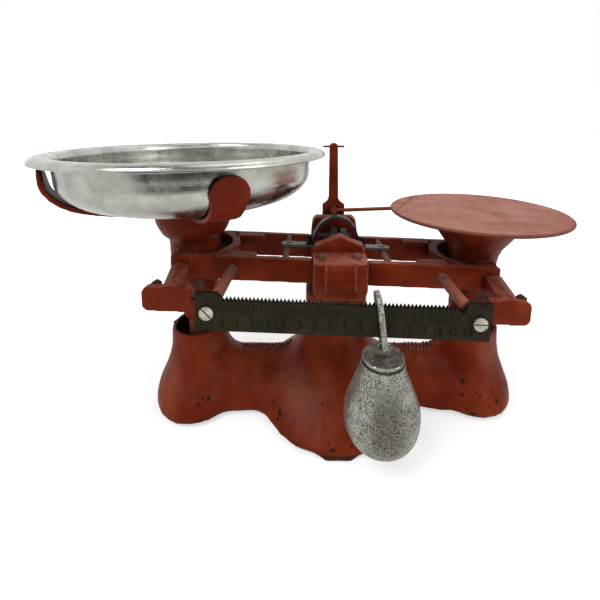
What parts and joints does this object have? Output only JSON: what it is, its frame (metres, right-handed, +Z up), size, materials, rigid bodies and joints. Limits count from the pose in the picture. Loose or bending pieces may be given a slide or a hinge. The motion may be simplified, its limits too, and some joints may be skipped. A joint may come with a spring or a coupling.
{
  "type": "double beam balance",
  "caption": "Double beam table balance: hollow iron base, tilting beam with round pan on the left, flat plate on the right, and a notched bar with a sliding poise in front.",
  "frame": {"origin": "middle of the bounding box on the floor plane, under the point half way between pan rim and plate rim", "axes": "+X along the beam from the pan to the plate, +Y from the notched bar to the back, +Z up"},
  "size_m": [0.3874, 0.2032, 0.204],
  "materials": {
    "red_paint": "worn gloss enamel",
    "worn_red_paint": "rubbed, faded enamel",
    "aluminium_sheet": "worn polish",
    "silvered_iron": "silver paint, pitted",
    "dark_brass": "dark tarnish",
    "nickel_screw": "worn nickel",
    "grey_steel": "dull",
    "dark_steel": "oil-blackened"
  },
  "bodies": {
    "base": {"base_casting": "red_paint", "front_fulcrum_block": "red_paint", "rear_fulcrum_block": "red_paint", "front_outer_bearing": "dark_steel", "front_inner_bearing": "dark_steel", "rear_outer_bearing": "dark_steel", "rear_inner_bearing": "dark_steel", "front_block_screw_left": "worn_red_paint", "front_block_screw_right": "worn_red_paint", "rear_block_screw_left": "worn_red_paint", "rear_block_screw_right": "worn_red_paint", "tower": "red_paint", "tower_cross_pin": "dark_steel", "rest_rod": "red_paint", "fixed_index": "grey_steel", "link_post": "red_paint", "link_pivot_pin": "grey_steel"},
    "beam": {"beam_frame": "red_paint", "front_main_knife": "dark_steel", "rear_main_knife": "dark_steel", "left_front_knife": "dark_steel", "left_rear_knife": "dark_steel", "right_front_knife": "dark_steel", "right_rear_knife": "dark_steel", "left_cross_rod": "worn_red_paint", "right_cross_rod": "worn_red_paint", "left_foot_plate": "grey_steel", "right_foot_plate": "grey_steel", "arch_strap": "dark_steel", "left_arch_bolt": "dark_steel", "right_arch_bolt": "dark_steel", "moving_index": "grey_steel", "left_scale_bracket": "red_paint", "right_scale_bracket": "red_paint", "left_side_rod": "worn_red_paint", "right_side_rod": "worn_red_paint", "scale_bar": "dark_brass", "left_scale_screw": "nickel_screw", "right_scale_screw": "nickel_screw", "left_bracket_nut": "grey_steel", "right_bracket_nut": "grey_steel", "left_clip": "grey_steel", "right_clip": "grey_steel"},
    "left_support": {"left_cradle": "red_paint", "left_front_bearing": "dark_steel", "left_rear_bearing": "dark_steel", "left_stem": "red_paint"},
    "right_support": {"right_trumpet": "red_paint", "right_front_bearing": "dark_steel", "right_rear_bearing": "dark_steel", "right_stem": "red_paint", "plate": "worn_red_paint"},
    "left_link": {"left_check_link": "dark_steel", "left_link_pin": "grey_steel"},
    "right_link": {"right_check_link": "dark_steel", "right_link_pin": "grey_steel"},
    "pan": {"pan": "aluminium_sheet"},
    "poise_link": {"poise_link": "silvered_iron"},
    "poise_weight": {"poise_weight": "silvered_iron"}
  },
  "joints": [
    {"name": "beam_tilt", "type": "hinge", "parent": "base", "child": "beam", "pos_m": [0.0178, 0, 0.1135], "axis": [0, -1, 0], "range_deg": [0, 5]},
    {"name": "left_support_tilt", "type": "hinge", "parent": "beam", "child": "left_support", "pos_m": [-0.09409, 0, 0.11839], "axis": [0, -1, 0], "range_deg": [-5, 0]},
    {"name": "right_support_tilt", "type": "hinge", "parent": "beam", "child": "right_support", "pos_m": [0.12969, 0, 0.10862], "axis": [0, -1, 0], "range_deg": [-5, 0]},
    {"name": "left_link_tilt", "type": "hinge", "parent": "base", "child": "left_link", "pos_m": [0.0178, 0, 0.0175], "axis": [0, -1, 0], "range_deg": [0, 5]},
    {"name": "right_link_tilt", "type": "hinge", "parent": "base", "child": "right_link", "pos_m": [0.0178, 0, 0.0175], "axis": [0, -1, 0], "range_deg": [0, 5]},
    {"name": "pan_lift", "type": "slide", "parent": "left_support", "child": "pan", "axis": [0, 0, 1], "range_m": [0, 0.08]},
    {"name": "poise_slide", "type": "slide", "parent": "beam", "child": "poise_link", "axis": [0.999, 0, -0.0436], "range_m": [-0.0925, 0.041]},
    {"name": "poise_swing", "type": "hinge", "parent": "poise_link", "child": "poise_weight", "pos_m": [0.0438, -0.0732, 0.0845], "axis": [0, -1, 0], "range_deg": [-20, 20]}
  ],
  "couplings": [
    {"joint": "left_support_tilt", "follows": "beam_tilt", "ratio": -1},
    {"joint": "right_support_tilt", "follows": "beam_tilt", "ratio": -1},
    {"joint": "left_link_tilt", "follows": "beam_tilt", "ratio": 1},
    {"joint": "right_link_tilt", "follows": "beam_tilt", "ratio": 1}
  ]
}
